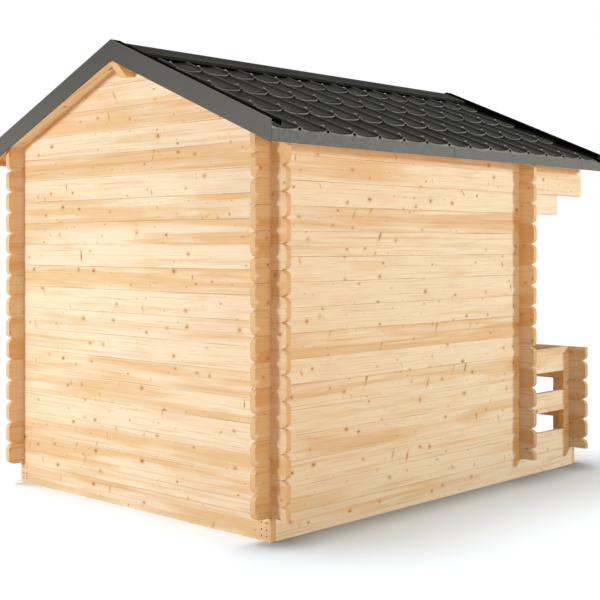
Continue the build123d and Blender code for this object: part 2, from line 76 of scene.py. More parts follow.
class Nodes:
    """Builds a material's nodes with short calls."""

    def __init__(self, name):
        self.material = bpy.data.materials.new(name)
        self.material.use_nodes = True
        self.tree = self.material.node_tree
        self.tree.nodes.clear()
        out = self.tree.nodes.new("ShaderNodeOutputMaterial")
        self.bsdf = self.tree.nodes.new("ShaderNodeBsdfPrincipled")
        self.link(self.bsdf.outputs[0], out.inputs["Surface"])

    def link(self, source, target):
        self.tree.links.new(source, target)

    def feed(self, socket, value):
        """Links another node's output to a socket, or sets a number or a colour on it."""
        if isinstance(value, bpy.types.NodeSocket):
            self.link(value, socket)
        elif isinstance(value, tuple):
            socket.default_value = (*value, 1.0)
        else:
            socket.default_value = value

    def surface(self, key, value):
        self.feed(self.bsdf.inputs[key], value)

    def math(self, operation, first, second=0.0):
        node = self.tree.nodes.new("ShaderNodeMath")
        node.operation = operation
        self.feed(node.inputs[0], first)
        self.feed(node.inputs[1], second)
        return node.outputs[0]

    def plus(self, first, second):
        return self.math("ADD", first, second)

    def minus(self, first, second):
        return self.math("SUBTRACT", first, second)

    def times(self, first, second):
        return self.math("MULTIPLY", first, second)

    def ramp(self, value, low, high, out_low=0.0, out_high=1.0, smooth=True):
        node = self.tree.nodes.new("ShaderNodeMapRange")
        node.interpolation_type = "SMOOTHSTEP" if smooth else "LINEAR"
        self.link(value, node.inputs["Value"])
        node.inputs["From Min"].default_value = low
        node.inputs["From Max"].default_value = high
        node.inputs["To Min"].default_value = out_low
        node.inputs["To Max"].default_value = out_high
        return node.outputs["Result"]

    def vector(self, x, y, z=0.0):
        node = self.tree.nodes.new("ShaderNodeCombineXYZ")
        for socket, value in zip(node.inputs, (x, y, z)):
            self.feed(socket, value)
        return node.outputs[0]

    def noise(self, vector, scale=1.0, detail=3.0, roughness=0.55):
        node = self.tree.nodes.new("ShaderNodeTexNoise")
        self.link(vector, node.inputs["Vector"])
        node.inputs["Scale"].default_value = scale
        node.inputs["Detail"].default_value = detail
        node.inputs["Roughness"].default_value = roughness
        return node.outputs["Fac"]

    def white(self, vector):
        """White noise: a random value and a random colour that hold for one vector only."""
        node = self.tree.nodes.new("ShaderNodeTexWhiteNoise")
        node.noise_dimensions = "3D"
        self.link(vector, node.inputs["Vector"])
        return node.outputs

    def color_parts(self, color):
        node = self.tree.nodes.new("ShaderNodeSeparateColor")
        self.link(color, node.inputs[0])
        return node.outputs

    def mix(self, factor, first, second, blend="MIX"):
        node = self.tree.nodes.new("ShaderNodeMix")
        node.data_type = "RGBA"
        node.blend_type = blend
        node.clamp_factor = True
        self.feed(node.inputs[0], factor)
        self.feed(node.inputs[6], first)
        self.feed(node.inputs[7], second)
        return node.outputs[2]

    def geometry_parts(self, key):
        """X, Y and Z of the surface point's position or normal, in the shared frame."""
        geometry = self.tree.nodes.new("ShaderNodeNewGeometry")
        parts = self.tree.nodes.new("ShaderNodeSeparateXYZ")
        self.link(geometry.outputs[key], parts.inputs[0])
        return parts.outputs

    def bump(self, height, strength, distance):
        node = self.tree.nodes.new("ShaderNodeBump")
        node.inputs["Strength"].default_value = strength
        node.inputs["Distance"].default_value = distance
        self.link(height, node.inputs["Height"])
        self.link(node.outputs[0], self.bsdf.inputs["Normal"])


# Materials

CREAM = (0.91, 0.745, 0.555)
TAN = (0.80, 0.535, 0.295)
ORANGE = (0.70, 0.365, 0.140)
PINK = (0.88, 0.635, 0.470)
KNOT_DARK = (0.21, 0.092, 0.032)
KNOT_PALE = (0.50, 0.260, 0.090)
GRAIN = (0.56, 0.290, 0.110)
SEAM_SHADE = (0.46, 0.250, 0.105)
# Painted shade tint for the low log tips
LOW_TIP_SHADE_TINT = (0.77, 0.79, 0.88)
END_PALE = (0.84, 0.55, 0.285)
END_RING = (0.60, 0.33, 0.14)
END_GRIT = (0.42, 0.22, 0.10)
AXES = {"x": 0, "y": 1, "z": 2}
TIP_EDGE = 0.004
WOOD_SHEEN = 0.20


def wood(
    name,
    along,
    foot,
    pitch,
    width_axis="z",
    warmth=0.0,
    knots=1.0,
    seed=0.0,
    seams=1.0,
    painted_light_top=0.0,
    tips=0.0,
    low_tip_shade=0.0,
):
    """Knotty softwood whose boards run along one axis and repeat every pitch on another."""
    n = Nodes(name)
    pos = n.geometry_parts("Position")
    length = pos[AXES[along]]
    width = pos[AXES[width_axis]]
    third = pos[3 - AXES[along] - AXES[width_axis]]
    level = n.math("DIVIDE", n.minus(width, foot), pitch)
    index = n.math("FLOOR", level)

    # Four random numbers for each board
    pick1, pick2, pick3 = n.color_parts(n.white(n.vector(index, seed, 0.37))["Color"])
    pick4 = n.white(n.vector(index, seed + 3.1, 5.7))["Value"]

    # u runs along a board and v across it, both shifted from board to board
    u = n.plus(length, n.times(pick1, 9.0))
    v = n.plus(width, n.times(pick2, 3.0))
    v = n.plus(v, n.times(third, 0.31))

    def board_noise(across, scale_u, scale_v, shift, detail=2.0, roughness=0.55):
        """Noise with its own scale along the board and across it."""
        spot = n.vector(n.times(u, scale_u), n.times(across, scale_v), seed + shift)
        return n.noise(spot, 1.0, detail, roughness)

    lean = n.times(n.minus(pick4, 0.5), 1.1)
    ragged = n.times(n.minus(board_noise(v, 75.0, 75.0, 31.0), 0.5), 1.3)

    def knot_layer(scale_u, scale_v, share, radius, shift, slanted=False):
        """Distance from the knots of one size, in their own radii, and how strong each is."""
        cells = n.tree.nodes.new("ShaderNodeTexVoronoi")
        cells.voronoi_dimensions = "2D"
        cells.feature = "F1"
        cells.inputs["Scale"].default_value = 1.0
        cells.inputs["Randomness"].default_value = 0.95
        shifted = n.plus(u, shift)
        if slanted:
            shifted = n.plus(shifted, n.times(v, lean))
        spot = n.vector(n.times(shifted, scale_u), n.times(n.plus(v, shift * 0.7), scale_v))
        n.link(spot, cells.inputs["Vector"])
        chance, size_pick, strength = n.color_parts(cells.outputs["Color"])
        there = n.math("LESS_THAN", chance, share * knots)
        there = n.times(there, n.ramp(strength, 0.0, 1.0, 0.30, 1.0, smooth=False))
        size = n.times(n.plus(n.times(size_pick, 0.9), 0.45), radius)
        ratio = n.math("DIVIDE", cells.outputs["Distance"], size)
        return n.plus(ratio, ragged), there

    def disc(knot, inner, outer):
        """1 inside a share of the knot's radius and 0 outside another."""
        ratio, there = knot
        return n.times(n.ramp(ratio, outer, inner), there)

    round_knots = knot_layer(6.6, 8.6, 0.56, 0.072, 0.0)
    spike_knots = knot_layer(8.5, 2.7, 0.27, 0.052, 2.3, slanted=True)
    pin_knots = knot_layer(12.0, 15.0, 0.44, 0.060, 4.9)
    core = n.math("MAXIMUM", disc(round_knots, 0.25, 1.15), n.times(disc(spike_knots, 0.4, 1.2), 0.75))
    core = n.math("MAXIMUM", core, n.times(disc(pin_knots, 0.3, 1.2), 0.70))
    halo = n.math("MAXIMUM", disc(round_knots, 0.9, 2.4), disc(spike_knots, 0.9, 2.4))

    # The grain bends round the knots
    bent = n.plus(v, n.times(halo, 0.010))
    bent = n.plus(bent, n.times(board_noise(v, 0.9, 5.0, 0.0), 0.030))
    rings = board_noise(bent, 0.45, 46.0, 0.0, 3.0, 0.6)
    fine = board_noise(bent, 3.5, 310.0, 0.0, 4.0, 0.65)
    band = board_noise(bent, 0.75, 13.0, 4.0)
    blotch = board_noise(v, 2.6, 9.0, 9.0, 3.0)
    rosy = board_noise(v, 1.7, 10.0, 15.0)
    streak = board_noise(bent, 1.3, 150.0, 18.0)
    cloud = board_noise(v, 1.5, 3.0, 2.0)

    # Tone from board to board and along each board, then grain and knots over it
    tone = n.ramp(pick3, 0.05, 0.95, -0.60 + warmth, 1.20 + warmth, smooth=False)
    tone = n.plus(tone, n.ramp(band, 0.38, 0.64, -0.52, 0.62))
    tone = n.plus(tone, n.ramp(cloud, 0.36, 0.64, -0.32, 0.32))
    # Painted light: the logs paler towards the eaves
    if painted_light_top:
        tone = n.minus(tone, n.ramp(pos[2], 1.1, 2.0, 0.0, painted_light_top))
    base = n.mix(tone, CREAM, TAN)
    base = n.mix(n.ramp(rosy, 0.50, 0.72, 0.0, 0.60), base, PINK)
    deep = n.times(n.ramp(rings, 0.50, 0.70), n.ramp(pick4, 0.0, 1.0, 0.15, 0.62, smooth=False))
    base = n.mix(deep, base, ORANGE)
    base = n.mix(n.ramp(fine, 0.46, 0.76, 0.0, 0.42), base, GRAIN)
    base = n.mix(n.ramp(streak, 0.58, 0.72, 0.0, 0.40), base, GRAIN)
    base = n.mix(n.ramp(blotch, 0.52, 0.78, 0.0, 0.50), base, TAN)
    base = n.mix(n.times(halo, 0.62), base, ORANGE)
    knot_color = n.mix(n.ramp(blotch, 0.45, 0.72), KNOT_DARK, KNOT_PALE)
    base = n.mix(n.times(core, 0.96), base, knot_color)

    # Joints between the boards: a dark painted shadow along the seam in patches, and a pale painted
    # highlight on the arris beside it
    edge = n.math("ABSOLUTE", n.minus(n.math("FRACT", n.plus(level, 0.5)), 0.5))
    away = n.times(edge, pitch)
    joint = n.math("FLOOR", n.plus(level, 0.5))
    arris = n.times(n.ramp(away, 0.0005, 0.0030), n.ramp(away, 0.0100, 0.0050))
    pale = n.white(n.vector(joint, seed + 8.0, 1.9))["Value"]
    base = n.mix(n.times(arris, n.ramp(pale, 0.35, 1.0, 0.0, 0.80)), base, CREAM)
    patches = n.noise(n.vector(n.times(u, 1.4), joint, seed), 1.0, 3.0)
    seam = n.times(n.ramp(away, 0.0036, 0.0008), n.ramp(patches, 0.44, 0.66, 0.0, 0.72 * seams))
    base = n.mix(seam, base, SEAM_SHADE)

    # Painted shade on log tips past a crossing wall: a warmer orange, and greyer and darker near the
    # ground
    if tips:
        reach = n.math("ABSOLUTE", length) if along == "x" else length
        beyond = n.ramp(reach, tips, tips + TIP_EDGE)
        low_shade_share = n.ramp(pos[2], 1.25, 0.55, 0.0, low_tip_shade)
        warm_tip_shade = n.times(beyond, n.minus(1.0, low_shade_share))
        base = n.mix(n.times(warm_tip_shade, 0.25), base, ORANGE)

    # End grain: rings about each board's heart, with a fine grit
    normal = n.geometry_parts("True Normal")
    end = n.math("GREATER_THAN", n.math("ABSOLUTE", normal[AXES[along]]), 0.55)
    heart = n.ramp(pick1, 0.0, 1.0, -0.3, 1.3, smooth=False)
    local = n.times(n.minus(n.math("FRACT", level), heart), pitch)
    sideways = n.plus(third, n.times(n.minus(pick2, 0.5), 0.05))
    radius = n.math("SQRT", n.plus(n.times(local, local), n.times(sideways, sideways)))
    spot = n.vector(*pos)
    wobble = n.noise(spot, 22.0, 3.0)
    ring = n.math("SINE", n.times(n.plus(radius, n.times(wobble, 0.006)), 1500.0))
    grit = n.noise(spot, 420.0, 2.0)
    end_base = n.mix(n.ramp(ring, -0.2, 0.9, 0.10, 0.55), END_PALE, END_RING)
    end_base = n.mix(n.ramp(grit, 0.5, 0.75, 0.0, 0.35), end_base, END_GRIT)
    base = n.mix(end, base, end_base)
    # Painted shade: the low log tips darkened towards a bluish grey
    if low_tip_shade:
        base = n.mix(n.times(beyond, low_shade_share), base, LOW_TIP_SHADE_TINT, "MULTIPLY")
    n.surface("Base Color", base)
    n.surface("Roughness", n.ramp(fine, 0.3, 0.8, 0.52, 0.70))
    n.bsdf.inputs["Specular IOR Level"].default_value = WOOD_SHEEN
    relief = n.plus(n.times(fine, 0.5), n.times(rings, 0.6))
    n.bump(n.minus(relief, n.times(core, 0.35)), 0.35, 0.0012)
    return n.material


def shade(color, factor):
    return tuple(part * factor for part in color)


def satin(n, base, spot, mottle, rough, sheen):
    """Finishes a coated metal with its colour, an uneven gloss and a fine relief."""
    n.surface("Base Color", base)
    n.surface("Roughness", n.ramp(mottle, 0.3, 0.75, rough - 0.05, rough + 0.09))
    n.bsdf.inputs["Specular IOR Level"].default_value = sheen
    grain = n.noise(spot, 900.0, 2.0)
    n.bump(n.plus(grain, n.times(mottle, 0.6)), 0.12, 0.0004)
    return n.material


def coated(name, color, rough, spread=0.12, sheen=0.4, painted_light_low_front=False):
    """Satin coated steel with a faint mottling, and painted light where asked: paler low down and to the
    front.
    """
    n = Nodes(name)
    pos = n.geometry_parts("Position")
    spot = n.vector(*pos)
    small = n.noise(spot, 60.0, 3.0)
    light = shade(color, 1 + spread)
    if painted_light_low_front:
        # Painted light and shade: darker high up and to the rear, paler low down and to the front
        low = n.ramp(pos[2], 2.70, 2.05, 0.0, 0.62, smooth=False)
        forward = n.ramp(pos[1], 1.4, -1.6, 0.0, 0.45, smooth=False)
        base = n.mix(n.plus(low, forward), shade(color, 0.62), shade(color, 1.45))
        base = n.mix(n.ramp(small, 0.5, 0.8, 0.0, 0.25), base, light)
    else:
        large = n.noise(spot, 3.2, 3.0)
        base = n.mix(n.ramp(large, 0.35, 0.65), shade(color, 1 - spread), light)
        base = n.mix(n.ramp(small, 0.5, 0.8, 0.0, 0.30), base, light)
    return satin(n, base, spot, small, rough, sheen)


def tile_coating(name, color, crest_highlight_color, rough, sheen):
    """Coated pressed steel with painted light and shade: dark heads of the rows, paler feet, pale crests,
    dark roll flanks.
    """
    n = Nodes(name)
    pos = n.geometry_parts("Position")
    spot = n.vector(*pos)
    small = n.noise(spot, 60.0, 3.0)
    large = n.noise(spot, 5.0, 3.0)
    row = n.math("FRACT", n.math("DIVIDE", n.math("ABSOLUTE", pos[0]), ROW_RUN))
    from_roll = n.plus(n.minus(pos[1], ROLL_Y), 20 * TILE_PITCH)
    roll = n.math("PINGPONG", from_roll, TILE_PITCH / 2)
    # Painted shade at the head of each row below the step above, painted light towards its foot
    base = n.mix(n.ramp(row, 0.10, 0.95), shade(color, 0.45), shade(color, 1.9))
    base = n.mix(n.ramp(large, 0.40, 0.65, 0.0, 0.5), base, color)
    # Painted highlight along the roll crests
    crest = n.times(n.ramp(roll, 0.0090, 0.0030), n.ramp(small, 0.35, 0.60, 0.3, 1.0))
    base = n.mix(crest, base, crest_highlight_color)
    # Painted shade on the rolls' flanks
    roll_flank_shade = n.times(n.ramp(roll, 0.0100, 0.0160), n.ramp(roll, 0.0320, 0.0180))
    base = n.mix(n.times(roll_flank_shade, 0.75), base, shade(color, 0.2))
    return satin(n, base, spot, small, rough, sheen)


def steel(name, color, rough):
    """Bare steel with fine scratches."""
    n = Nodes(name)
    pos = n.geometry_parts("Position")
    scratch = n.noise(n.vector(n.times(pos[0], 90.0), n.times(pos[1], 900.0), pos[2]), 1.0, 3.0)
    stain = n.noise(n.vector(*pos), 140.0, 3.0)
    n.surface("Base Color", n.mix(n.ramp(stain, 0.4, 0.7), color, shade(color, 0.7)))
    n.surface("Roughness", n.ramp(scratch, 0.3, 0.7, rough - 0.06, rough + 0.08))
    n.bsdf.inputs["Metallic"].default_value = 0.6
    n.bump(scratch, 0.10, 0.0003)
    return n.material


def board_step(node, axis, count):
    """Where a node's boards start on one axis, and the pitch at which they repeat."""
    low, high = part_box(node)
    return low[axis], (high[axis] - low[axis]) / count


CROSS_FOOT = SKIRT - COURSE / 2
SOFFIT_PITCH = 0.1149
side_wood = wood("side_log_wood", "y", SKIRT, COURSE, seed=1.0, painted_light_top=0.5, tips=REAR_FACE)
side_wood_right = wood("side_log_wood_right", "y", SKIRT, COURSE, seed=2.0, painted_light_top=0.5, tips=REAR_FACE)
rear_wood = wood("rear_log_wood", "x", CROSS_FOOT, COURSE, seed=3.0, tips=HALF_WIDTH)
front_wood = wood("front_log_wood", "x", CROSS_FOOT, COURSE, seed=4.0, tips=HALF_WIDTH, low_tip_shade=1.0)
return_wood = wood(
    "return_log_wood", "x", CROSS_FOOT, COURSE, seed=5.0, warmth=0.15, tips=HALF_WIDTH, low_tip_shade=1.0
)
skirt_wood_x = wood("skirt_wood_x", "x", SKIRT - 1.0, 1.0, seed=6.0, warmth=-0.1)
skirt_wood_y = wood("skirt_wood_y", "y", SKIRT - 1.0, 1.0, seed=7.0)
room_step = board_step("room_floor", 1, ROOM_BOARDS)
porch_step = board_step("porch_floor", 1, PORCH_BOARDS)
door_step = board_step("door_leaf", 0, DOOR_PLANKS)
room_boards = wood("room_floor_wood", "x", *room_step, width_axis="y", seed=8.0, warmth=0.1, seams=0.3)
porch_boards = wood("porch_floor_wood", "x", *porch_step, width_axis="y", seed=8.5, warmth=0.2, seams=0.3)
soffit_wood = wood(
    "soffit_wood", "x", -BOARD_HALF_LENGTH, SOFFIT_PITCH, width_axis="y", seed=9.0, warmth=0.45
)
beam_wood = wood("beam_wood", "y", 0.0, 5.0, seed=10.0, warmth=0.1)
post_wood = wood("post_wood", "z", -0.5, 1.0, width_axis="y", seed=11.0)
door_wood = wood("door_wood", "z", *door_step, width_axis="x", seed=12.0, warmth=0.05)
handle_wood = wood("handle_wood", "z", -0.6, 1.3, width_axis="x", seed=13.0, warmth=0.8, knots=0.2)
fascia_wood = wood("fascia_wood", "x", -1.0, 9.0, seed=14.0, warmth=0.2)
tile_paint = tile_coating("tile_coating", (0.0145, 0.0140, 0.0105), (0.075, 0.077, 0.070), 0.46, 0.010)
cap_paint = coated("cap_coating", (0.026, 0.026, 0.022), 0.58, spread=0.20, sheen=0.005)
# Painted shade: a near-black coat for the trims' lips and laps and the sheets' front verge
lip_shade_paint = coated("lip_shade_coating", (0.005, 0.005, 0.0045), 0.65, sheen=0.0)
# Painted highlight: a paler, glossier coat for the tiles' step edges
edge_highlight_paint = coated("tile_edge_highlight", (0.175, 0.160, 0.135), 0.40, spread=0.3, sheen=0.16)
# Painted shade: black in the hollows under the rolls' ends
hollow_shade_paint = coated("tile_hollow_shade", (0.004, 0.004, 0.004), 0.80, sheen=0.0)
trim_paint = coated("trim_coating", (0.098, 0.092, 0.082), 0.50, sheen=0.20, painted_light_low_front=True)
hinge_paint = coated("hinge_coating", (0.02, 0.02, 0.02), 0.45)
screw_steel = steel("screw_steel", (0.026, 0.025, 0.022), 0.40)
nail_steel = steel("nail_steel", (0.055, 0.045, 0.035), 0.50)
tile_screw = coated("tile_screw_cap", (0.16, 0.168, 0.165), 0.42, sheen=0.5)

NODE_LOOKS = {
    "left_side_wall": side_wood,
    "right_side_wall": side_wood_right,
    "rear_gable_wall": rear_wood,
    "front_gable_wall": front_wood,
    "front_wall_left": front_wood,
    "front_wall_right": front_wood,
    "porch_return_left": return_wood,
    "porch_return_right": return_wood,
    "porch_post_left": post_wood,
    "porch_post_right": post_wood,
    "rail_cap_left": beam_wood,
    "rail_cap_right": beam_wood,
    "skirt_rear": skirt_wood_x,
    "skirt_front": skirt_wood_x,
    "skirt_middle": skirt_wood_x,
    "skirt_left": skirt_wood_y,
    "skirt_right": skirt_wood_y,
    "floor_joists": skirt_wood_y,
    "room_floor": room_boards,
    "porch_floor": porch_boards,
    "door_frame": post_wood,
    "door_leaf": door_wood,
    "door_handle": handle_wood,
    "door_hinges": hinge_paint,
    "ridge_beam": beam_wood,
    "roof_boards_left": soffit_wood,
    "roof_boards_right": soffit_wood,
    "roof_battens": beam_wood,
    "rake_boards": fascia_wood,
    "eave_boards": skirt_wood_y,
    "roof_sheet_left": tile_paint,
    "roof_sheet_right": tile_paint,
    "ridge_cap": cap_paint,
}
for node_name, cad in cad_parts.items():
    cad.data.materials.clear()
    cad.data.materials.append(NODE_LOOKS.get(node_name, trim_paint))


# Mesh building


def make_piece(name, verts, faces, material, replaced=(), smooth=False):
    """A mesh piece that rides the root body and stands for the named CAD nodes."""
    mesh = bpy.data.meshes.new(name)
    mesh.from_pydata([tuple(v) for v in verts], [], faces)
    mesh.validate()
    mesh.update()
    mesh.materials.append(material)
    if smooth:
        for polygon in mesh.polygons:
            polygon.use_smooth = True
    piece = bpy.data.objects.new(name, mesh)
    scene.collection.objects.link(piece)
    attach(piece, "root")
    if replaced:
        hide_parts(*replaced)
    return piece


def ribbon(path, thick):
    """Closed outline of a folded plate that lies on the left of an open path of 2-D points."""
    offset = []
    for index, point in enumerate(path):
        before = path[max(0, index - 1)]
        after = path[min(len(path) - 1, index + 1)]
        dx, dy = after[0] - before[0], after[1] - before[1]
        size = math.hypot(dx, dy) or 1.0
        offset.append((point[0] - dy / size * thick, point[1] + dx / size * thick))
    return list(path) + offset[::-1]


def sweep(sections):
    """Verts and faces of a tube through rings of the same count, with both ends closed."""
    verts = [point for ring in sections for point in ring]
    count = len(sections[0])
    faces = []
    for row in range(len(sections) - 1):
        for col in range(count):
            here = row * count + col
            beside = row * count + (col + 1) % count
            faces.append((here, beside, beside + count, here + count))
    for base in (0, (len(sections) - 1) * count):
        for col in range(count // 2 - 1):
            quad = (base + col, base + count - 1 - col, base + count - 2 - col, base + col + 1)
            faces.append(quad if base == 0 else tuple(reversed(quad)))
    return verts, faces


def merge(parts):
    """Verts and faces of several meshes as one."""
    verts = []
    faces = []
    for part_verts, part_faces in parts:
        shift = len(verts)
        verts += list(part_verts)
        faces += [tuple(i + shift for i in face) for face in part_faces]
    return verts, faces


DOME_RINGS = 3
DOME_SIDES = 12
WASHER_SHARE = 1.35


def dome(center, axis, radius, height):
    """The head of a screw or nail: a thin washer and a rounded cap standing on a surface."""
    axis = Vector(axis).normalized()
    side = axis.orthogonal().normalized()
    other = axis.cross(side)
    center = Vector(center)
    washer = radius * WASHER_SHARE
    levels = [(washer, 0.0), (washer, height * 0.12), (radius * 1.02, height * 0.2)]
    for index in range(DOME_RINGS):
        angle = math.pi / 2 * index / DOME_RINGS
        levels.append((radius * math.cos(angle), height * (0.25 + 0.75 * math.sin(angle))))
    verts = []
    for reach, lift in levels:
        for step in range(DOME_SIDES):
            angle = 2 * math.pi * step / DOME_SIDES
            place = center + side * (reach * math.cos(angle))
            verts.append(place + other * (reach * math.sin(angle)) + axis * lift)
    verts.append(center + axis * height)
    faces = []
    for row in range(len(levels) - 1):
        for col in range(DOME_SIDES):
            here = row * DOME_SIDES + col
            beside = row * DOME_SIDES + (col + 1) % DOME_SIDES
            faces.append((here, beside, beside + DOME_SIDES, here + DOME_SIDES))
    last = (len(levels) - 1) * DOME_SIDES
    for col in range(DOME_SIDES):
        faces.append((last + col, last + (col + 1) % DOME_SIDES, len(verts) - 1))
    faces.append(tuple(reversed(range(DOME_SIDES))))
    return verts, faces


# The pressed tile sheets: heights over the roof's underside, and the pattern across the rolls
SHEET_Y = RAKE_Y - 0.0026
SHEET_LOW = 0.0500
SHEET_HIGH = 0.0655
PAN_DROP = 0.0205
PAN_CURVE = 0.0105
ROLL_RISE = 0.0100
ROLL_WIDTH = 0.0150
HOLLOW_HALF = 0.016
# Painted shade covers the sheet beyond this y along the front verge, where no screws are set
VERGE_SHADE_Y = -1.505
STEPS_PER_TILE = 18

# Lines of one row, as shares of its run: down the pan, then round the edge of the step with their fall
PAN_SHARES = (0.0, 0.22, 0.46, 0.68, 0.84, 0.93)
EDGE_SHARES = ((0.972, 0.0002), (0.986, 0.0012), (0.9955, 0.0042))

TILE_SCREWS_PER_ROW = 15
SCREW_ABOVE_STEP = 0.036
SCREW_SUNK = 0.0017


def tile_height(distance):
    """Height of the pressed pattern over the pan's middle, at a distance from a roll."""
    share = min(1.0, abs(distance) / (TILE_PITCH / 2))
    pan = PAN_CURVE * (1.0 - share) ** 1.5
    roll = ROLL_RISE * math.exp(-((abs(distance) / ROLL_WIDTH) ** 2.4))
    return pan + roll


def roll_distance(y):
    """Signed distance from the nearest roll."""
    return (y - ROLL_Y + TILE_PITCH / 2) % TILE_PITCH - TILE_PITCH / 2


def tile_sheet(name, side, replaced):
    """One slope of pressed metal tiles: rolls up the slope and a step at the foot of every row."""
    first = math.floor((-SHEET_Y - ROLL_Y) / TILE_PITCH * STEPS_PER_TILE)
    last = math.ceil((SHEET_Y - ROLL_Y) / TILE_PITCH * STEPS_PER_TILE)
    stations = [ROLL_Y + step * TILE_PITCH / STEPS_PER_TILE for step in range(first, last + 1)]
    ys = sorted({round(max(-SHEET_Y, min(SHEET_Y, y)), 6) for y in stations})
    lines = []
    for row in range(TILE_ROWS):
        start = row * ROW_RUN
        for share in PAN_SHARES:
            rise = SHEET_LOW + (SHEET_HIGH - SHEET_LOW) * share
            lines.append((start + share * ROW_RUN, rise, 0.72 + 0.28 * share))
        for share, fall in EDGE_SHARES:
            lines.append((start + share * ROW_RUN, SHEET_HIGH - fall, 1.0))
        lines.append((start + ROW_RUN - 0.0003, SHEET_HIGH - 0.0090, 1.0))
        foot = SHEET_LOW - 0.0030 if row == TILE_ROWS - 1 else SHEET_LOW + 0.0002
        lines.append((start + ROW_RUN - 0.0002, foot, 1.0))
    verts = []
    for across, rise, depth in lines:
        for y in ys:
            height = rise - PAN_DROP * depth + tile_height(roll_distance(y)) * depth
            verts.append((side * across, y, roof_z(across, height)))
    faces = []
    width = len(ys)
    for row in range(len(lines) - 1):
        for col in range(width - 1):
            here = row * width + col
            quad = (here, here + 1, here + width + 1, here + width)
            faces.append(quad if side < 0 else tuple(reversed(quad)))
    piece = make_piece(name, verts, faces, tile_paint, replaced, smooth=True)
    for material in (edge_highlight_paint, hollow_shade_paint, lip_shade_paint):
        piece.data.materials.append(material)
    per_row = len(lines) // TILE_ROWS
    for polygon in piece.data.polygons:
        line = polygon.index // (width - 1) % per_row
        # Painted highlight on the steps' edges, and painted shade in the hollows under the rolls' ends
        if line in (per_row - 3, per_row - 2):
            hollow = line == per_row - 2 and abs(roll_distance(polygon.center.y)) < HOLLOW_HALF
            polygon.material_index = 2 if hollow else 1
            polygon.use_smooth = False
        # Painted shade along the front verge
        if polygon.center.y < VERGE_SHADE_Y:
            polygon.material_index = 3


def tile_screws(name, side):
    """Capped screws on the rolls just above every step."""
    normal = (side * SLOPE, 0.0, 1.0)
    parts = []
    for row in range(TILE_ROWS):
        across = (row + 1) * ROW_RUN - SCREW_ABOVE_STEP
        seat = roof_z(across, SHEET_HIGH - SCREW_SUNK)
        for index in range(TILE_SCREWS_PER_ROW):
            y = ROLL_Y - index * TILE_PITCH
            if y >= VERGE_SHADE_Y:
                parts.append(dome((side * across, y, seat), normal, 0.0080, 0.0075))
    verts, faces = merge(parts)
    make_piece(name, verts, faces, tile_screw, smooth=True)


tile_sheet("tile_sheet_left", -1, ("roof_sheet_left",))
tile_sheet("tile_sheet_right", 1, ("roof_sheet_right",))
tile_screws("tile_screws_left", -1)
tile_screws("tile_screws_right", 1)

# Folded ridge cap: a crest, flanges with one lengthwise bend and a turned-down foot
CAP_HALF = 0.180
CAP_RISE = 0.074
FOLD_SHEET = 0.0012
CAP_STEPS = 12


def cap_profile():
    """The cap's outer line from one foot over the crest to the other, as X and Z."""
    half = [(CAP_HALF, 0.0575), (CAP_HALF, CAP_RISE - 0.0012), (CAP_HALF - 0.003, CAP_RISE - 0.0001)]
    half += [(0.100, CAP_RISE - 0.0008), (0.092, CAP_RISE - 0.0045), (0.084, CAP_RISE - 0.0012)]
    half += [(0.030, CAP_RISE - 0.0002), (0.012, CAP_RISE - 0.0016), (0.004, CAP_RISE - 0.0006)]
    points = [(-x, roof_z(x, rise)) for x, rise in half]
    return points + [(-x, z) for x, z in points[::-1]]


cap_loop = ribbon(cap_profile()[::-1], FOLD_SHEET)
cap_rings = []
for step in range(CAP_STEPS + 1):
    y = -SHEET_Y + 2 * SHEET_Y * step / CAP_STEPS
    cap_rings.append([(x, y, z) for x, z in cap_loop])
verts, faces = sweep(cap_rings)
make_piece("folded_ridge_cap", verts, faces, cap_paint, ("ridge_cap",))

# Folded trims, their laps and their small screws
TRIM_RISE = 0.083
TRIM_DROP = 0.036
TRIM_LIP = 0.070
TRIM_STEPS = 24
EAVE_TOP = EAVE_FOOT + 0.067
EAVE_SHEET = 0.0005
EAVE_STEPS = 8
LAP_EDGE = 0.0035
SCREW_SEAT = 0.0022
RAKE_END_SCREWS = ((1.2455, 2.1081), (1.2455, 2.0735), (0.0199, 2.6289))
RAKE_SCREW_SHARES = (0.27, 0.52, 0.77)
RAKE_SCREW_DROP = 0.018
EAVE_SCREW_YS = (1.58, 1.02, 0.56, 0.118, -0.42, -0.92, -1.336, -1.57)
EAVE_SCREW_RISE = 0.022


def rake_trim(name, side, end, replaced):
    """Folded rake trim: a face, a lip back over the tiles with its edge turned down, a hem below."""
    rings = []
    run = HALF_SPAN - 0.0002
    bend = (EAVE_FOOT + TRIM_DROP - RIDGE_UNDER) / -SLOPE
    stations = [0.0002 + run * step / TRIM_STEPS for step in range(TRIM_STEPS)] + [bend, run]
    for across in sorted(stations):
        low = max(roof_z(across, -TRIM_DROP), EAVE_FOOT)
        high = roof_z(across, TRIM_RISE)
        wave = 0.0006 * math.sin(across * 23.0 + side) if 0.05 < across < run - 0.05 else 0.0
        path = [
            (0.011, low + 0.0042),
            (0.010, low + 0.0005),
            (0.0020, low),
            (0.0, low + 0.0020),
            (0.0006 + abs(wave), (low + high) / 2),
            (0.0, high - 0.0045),
            (0.0014, high - 0.0014),
            (0.0045, high),
            (TRIM_LIP - 0.002, high - 0.0004),
            (TRIM_LIP, high - 0.0025),
            (TRIM_LIP - 0.0006, high - 0.0285),
        ]
        loop = ribbon(path[::-1], FOLD_SHEET)
        rings.append([(side * across, end * (RAKE_Y - inward), z) for inward, z in loop])
    verts, faces = sweep(rings)
    if side * end < 0:
        faces = [tuple(reversed(face)) for face in faces]
    piece = make_piece(name, verts, faces, trim_paint, replaced)
    piece.data.materials.append(lip_shade_paint)
    # Painted shade: the lip and its turned-down edge in near-black
    for polygon in piece.data.polygons:
        inward = RAKE_Y - end * polygon.center.y
        if inward > 0.030 or (inward > 0.006 and polygon.center.z > roof_z(polygon.center.x, 0.050)):
            polygon.material_index = 1


